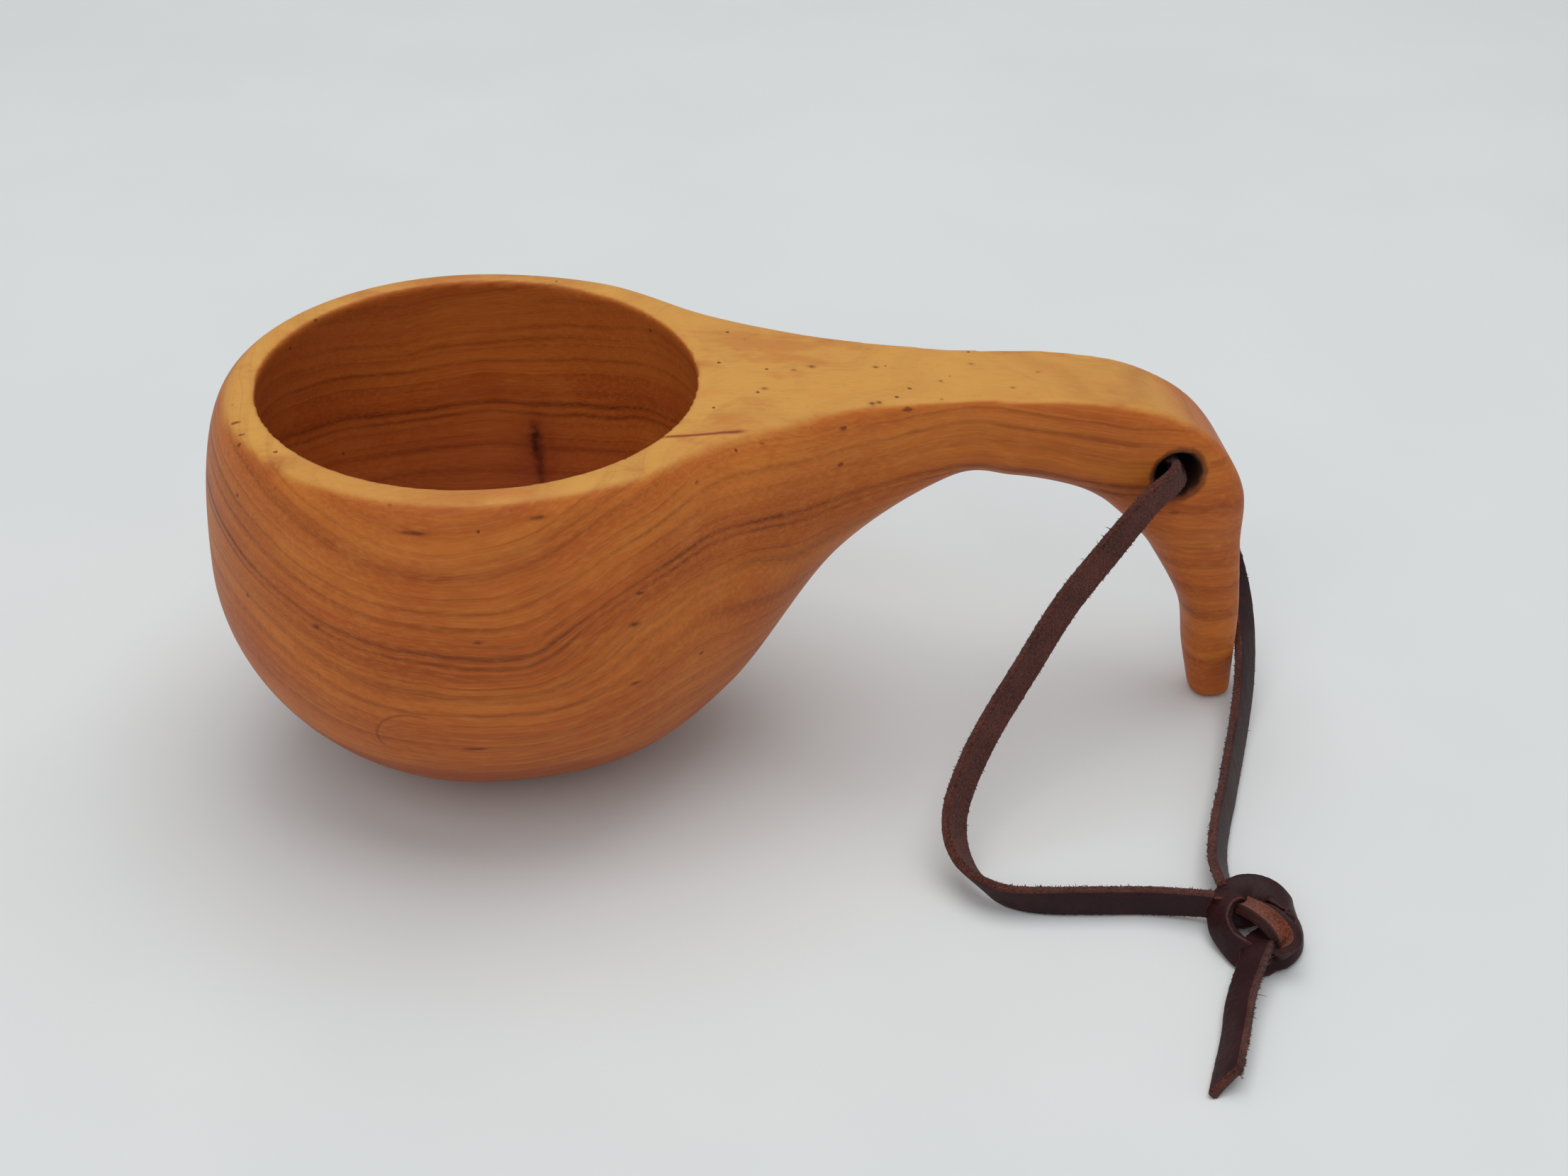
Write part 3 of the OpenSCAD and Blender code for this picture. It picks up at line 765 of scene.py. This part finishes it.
def wood_material():
    look = Look("wood")
    x, y, z = look.x, look.y, look.z
    # the growth layers lie level, and rise along the neck and round the bowl's free side
    rise = x.step(0, 40) * (z.step(38, 56) * 0.5 + 0.5) * (y * -0.0075 + 0.7) * 13
    free = (((x + 3) * (-1 / 41)).op("MAXIMUM", 0.0) ** 2.2) * 11
    fall = x.step(88, 134) * 6
    warp = (look.noise(scale=0.03, detail=1) - 0.5) * 7 + (look.noise(scale=0.09, detail=2) - 0.5) * 1.2
    layer = z - rise - free + fall + warp
    drift = look.vector(layer * 0.16, 0.0, 0.0)
    uneven = layer + (look.noise(drift, scale=1, detail=1) - 0.5) * 5
    # rings: each darkens slowly to a thin late line, some strong and some hardly there
    turn = uneven / RING_PERIOD
    number = turn.op("FLOOR")
    t = turn - number
    fade = look.noise(scale=0.035, detail=2).step(0.38, 0.62)
    strong = look.random(number) ** 1.6
    calm = 1 - x.step(112, 128) * 0.7
    late = (t ** 12.0) * t.step(1.0, 0.965) * (strong * 0.8 + 0.1) * (fade * 0.7 + 0.3) * calm
    early = (t ** 2.4) * t.step(1.0, 0.90) * (strong * 0.6 + 0.25) * (fade * 0.4 + 0.6) * (calm * 0.5 + 0.5)
    # fine lines between them, in the same layers
    thread = look.vector(x * 0.012, y * 0.012, uneven * 1.35)
    fine = look.noise(thread, scale=1, detail=5, roughness=0.62)
    # a few lines that stand out along the bowl, and level rings on the hook
    picked = lines(layer, BOWL_LINES) * (fine * 0.8 + 0.6)
    hoops = lines(z + warp * 0.25, HOOK_LINES)
    hook = x.step(118, 128)
    picked = picked * (1 - hook) * (fade * 0.5 + 0.5) + hoops * hook * (fade * 0.4 + 0.4)
    # fibres, and slow changes of hue
    fibre = look.noise(look.vector(x * 0.10, y * 1.6, uneven * 2.6), scale=1, detail=4, roughness=0.6)
    pores = look.noise(look.vector(x * 0.5, y * 3.2, z * 4.0), scale=1, detail=3, roughness=0.7)
    cloud = look.noise(scale=0.045, detail=3, roughness=0.55)
    mottle = look.noise(look.vector(x * 0.05, y * 0.16, z * 0.16), scale=1, detail=3)
    # the carved top faces and the rim are paler, partly the wood's own colour and partly painted light from
    # above, and the low parts deeper
    pale_and_lit_top = (look.facing_up + (cloud - 0.5) * 0.5).step(0.55, 0.95) * z.step(58, 70)
    colour = look.mix(cloud.step(0.3, 0.7), srgb(180, 92, 34), srgb(196, 108, 42))
    colour = look.mix((55 - z).step(0, 60) * 0.75 * mottle.step(0.25, 0.7), colour, srgb(166, 82, 34))
    colour = look.mix((z - 57).step(0, 16) * 0.5, colour, srgb(200, 116, 48))
    colour = look.mix(pale_and_lit_top * 0.72, colour, srgb(216, 168, 82))
    # bands of several layers, redder or yellower, and blotches
    band = look.noise(look.vector(layer * 0.11, x * 0.005, y * 0.005), scale=1, detail=2)
    narrow = look.noise(look.vector(layer * 0.36, x * 0.012, y * 0.012), scale=1, detail=2)
    colour = look.mix(band.step(0.46, 0.66) * (0.55 - pale_and_lit_top * 0.3), colour, srgb(166, 76, 28))
    colour = look.mix(band.step(0.50, 0.34) * 0.30, colour, srgb(206, 124, 50))
    colour = look.mix(narrow.step(0.5, 0.72) * (0.40 - pale_and_lit_top * 0.2), colour, srgb(142, 64, 24))
    blotch = look.noise(look.vector(x * 0.045, y * 0.09, z * 0.11), scale=1, detail=4, roughness=0.65)
    colour = look.mix(blotch.step(0.52, 0.70) * 0.40, colour, srgb(176, 84, 36))
    colour = look.mix(blotch.step(0.46, 0.32) * 0.25, colour, srgb(206, 126, 56))
    # the rings and lines
    colour = look.mix(early * (0.50 - pale_and_lit_top * 0.2), colour, srgb(134, 58, 20))
    colour = look.mix(late * (0.85 - pale_and_lit_top * 0.4), colour, DARK_LINE)
    colour = look.mix(fine.step(0.5, 0.74) * (0.36 - pale_and_lit_top * 0.16), colour, srgb(132, 60, 22))
    colour = look.mix((picked * 0.95).clamp() * (1 - pale_and_lit_top), colour, DARK_LINE)
    # the sheen and shade of the fibres, painted into the colour as lighter and darker streaks
    colour = look.mix(fibre.step(0.42, 0.66) * 0.16, colour, srgb(222, 150, 74))
    colour = look.mix(fibre.step(0.44, 0.24) * 0.14, colour, srgb(128, 60, 24))
    sheen_and_shade = look.noise(look.vector(x * 0.35, y * 0.8, z * 0.8), scale=1, detail=5, roughness=0.7)
    colour = look.mix(sheen_and_shade.step(0.50, 0.68) * 0.10, colour, srgb(222, 148, 76))
    colour = look.mix(sheen_and_shade.step(0.46, 0.30) * 0.10, colour, srgb(130, 58, 24))
    colour = look.mix(pores.step(0.55, 0.75) * 0.16, colour, srgb(120, 62, 30))
    # the hollow is darker and redder: painted shade and painted reflected light inside the bowl
    hollow = ((squared(x) + squared(y)) ** 0.5).step(41.5, 39) * z.step(6, 9) * z.step(76.6, 74)
    colour = look.mix(hollow * 0.34, colour, srgb(138, 56, 34))
    # few short dark dashes along the fibres, and specks on the top faces
    reach, kind = look.cells(look.vector(x * 0.32, y, z), scale=0.24)
    jag = look.noise(scale=1.4, detail=2) * 0.12
    fleck = (reach + jag).step(0.19, 0.12) * kind.step(0.80, 0.84)
    colour = look.mix(fleck * 0.75, colour, srgb(104, 44, 18))
    reach, kind = look.cells(scale=0.36)
    speck = (reach + look.noise(scale=3, detail=2) * 0.25).step(0.30, 0.22) * kind.step(0.86, 0.9)
    colour = look.mix(speck * z.step(70, 73) * 0.85, colour, DARK_DOT)
    colour = wood_marks(look, colour, warp)
    # the burnt hole
    singed = (look.noise(scale=0.7, detail=3) - 0.5) * 0.9
    from_hole = (squared(x - HOLE_X) + squared(z - HOLE_Z)) ** 0.5 + singed
    by_hole = from_hole.step(7.0, 6.4)
    char = from_hole.step(5.1, 4.3)
    colour = look.mix(from_hole.step(6.1, 5.2) * by_hole * 0.72, colour, srgb(92, 44, 20))
    colour = look.mix(char * by_hole * 0.93, colour, srgb(28, 16, 11))

    roughness = 0.46 + (pores - 0.5) * 0.16 + late * 0.08 - pale_and_lit_top * 0.02 + char * 0.3
    height = (pores - 0.5) * 0.35 + fine * 0.5 - late * 0.4 - fleck * 0.6
    return look.shader(colour, roughness, height, bump_mm=0.06, specular=0.16)


def leather(name, low, high, worn, roughness, sheen=0.0, nap=False):
    """Leather between two colours with a worn one over them; nap is for the rough flesh side and cut edges."""
    look = Look(name)
    cloud = look.noise(scale=0.16, detail=3)
    grit = look.noise(scale=2.4 if nap else 1.5, detail=5, roughness=0.7)
    colour = look.mix(cloud.step(0.3, 0.7), low, high)
    if nap:
        pile, _ = look.cells(scale=2.6)
        hairs = look.noise(scale=3.4, detail=3, roughness=0.75)
        colour = look.mix(hairs.step(0.48, 0.66) * 0.55, colour, worn)
        colour = look.mix(grit.step(0.52, 0.38) * 0.7, colour, srgb(34, 14, 12))
        height, bump_mm = hairs + pile * 0.4 + grit, 0.3
    else:
        pebble, _ = look.cells(scale=1.5)
        crease = look.noise(scale=0.9, detail=4, roughness=0.6, distortion=1.2)
        colour = look.mix(grit.step(0.55, 0.8) * 0.5, colour, worn)
        # the creases are darker: painted shade
        colour = look.mix(crease.step(0.47, 0.42) * 0.4, colour, srgb(20, 11, 10))
        height, bump_mm = pebble * 0.6 + crease, 0.07
    return look.shader(colour, roughness + (grit - 0.5) * 0.2, height, bump_mm, specular=0.2, sheen=sheen)


def floor_material():
    look = Look("floor")
    tone = look.noise(scale=0.012, detail=3)
    colour = look.mix(tone.step(0.3, 0.7), srgb(222, 225, 225), srgb(226, 228, 228))
    roughness = 0.78 + tone * 0.05
    return look.shader(colour, roughness, look.noise(scale=0.5, detail=2), bump_mm=0.02, specular=0.3)


wood.data.materials.clear()
wood.data.materials.append(wood_material())
flesh_look = leather("leather_flesh", srgb(78, 36, 29), srgb(98, 47, 38), srgb(140, 82, 68),
                     roughness=0.92, sheen=0.12, nap=True)
edge_look = leather("leather_edge", srgb(80, 37, 29), srgb(100, 49, 38), srgb(148, 90, 72),
                    roughness=0.92, sheen=0.15, nap=True)
pile_look = leather("leather_pile", srgb(112, 52, 32), srgb(134, 66, 42), srgb(176, 102, 72),
                    roughness=0.95, sheen=0.2, nap=True)
rubbed_look = leather("leather_rubbed", srgb(44, 19, 18), srgb(56, 26, 24), srgb(82, 44, 38), roughness=0.65)
worn_look = leather("leather_worn", srgb(66, 34, 31), srgb(92, 54, 48), srgb(126, 84, 74), roughness=0.7)
grain_look = leather("leather_grain", srgb(40, 14, 19), srgb(52, 21, 24), srgb(76, 40, 39), roughness=0.52)
# in the order of the strip's surfaces; where it is tied, its pile is brushed up and its edges are rubbed
loose_looks = (flesh_look, edge_look, grain_look, worn_look)
tied_looks = (pile_look, rubbed_look, grain_look, worn_look)
for piece in (front_leg, back_leg, tail, knot):
    for look in tied_looks if piece is knot else loose_looks:
        piece.data.materials.append(look)


# ---------------------------------------------------------------- floor and light

FLOOR_REACH = 4
corners = [(x * FLOOR_REACH, y * FLOOR_REACH, 0) for x, y in ((-1, -1), (1, -1), (1, 1), (-1, 1))]
floor = link("floor", mesh_of("floor", corners, [range(4)]))
floor.data.shade_smooth()
floor.location.z = -0.02 * MM
floor.data.materials.append(floor_material())

world = bpy.data.worlds.new("studio")
scene.world = world
world.use_nodes = True
colour_in, strength_in = world.node_tree.nodes["Background"].inputs[:2]
colour_in.default_value = (0.95, 0.98, 1.0, 1)
strength_in.default_value = 0.41


def area_light(name, place, size, power):
    """A square light that shines on the cup."""
    data = bpy.data.lights.new(name, "AREA")
    data.shape, data.size, data.energy = "SQUARE", size, power
    light = bpy.data.objects.new(name, data)
    scene.collection.objects.link(light)
    light.location = place
    light.rotation_euler = (Vector((0.05, 0, 0.03)) - Vector(place)).to_track_quat("-Z", "Y").to_euler()


area_light("key", (0.12, 0.14, 1.15), size=1.1, power=7.4)
area_light("fill", (-0.35, -0.9, 0.9), size=1.0, power=3.7)
scene.view_settings.view_transform = "Standard"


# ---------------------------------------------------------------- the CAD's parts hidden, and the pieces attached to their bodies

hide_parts("cup")
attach(wood, "cup")
for piece, node in ((front_leg, "lanyard_front_leg"), (back_leg, "lanyard_back_leg"), (tail, "lanyard_tail")):
    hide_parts(node)
    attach(piece, "lanyard")
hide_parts("lanyard_knot")
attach(knot, "lanyard")
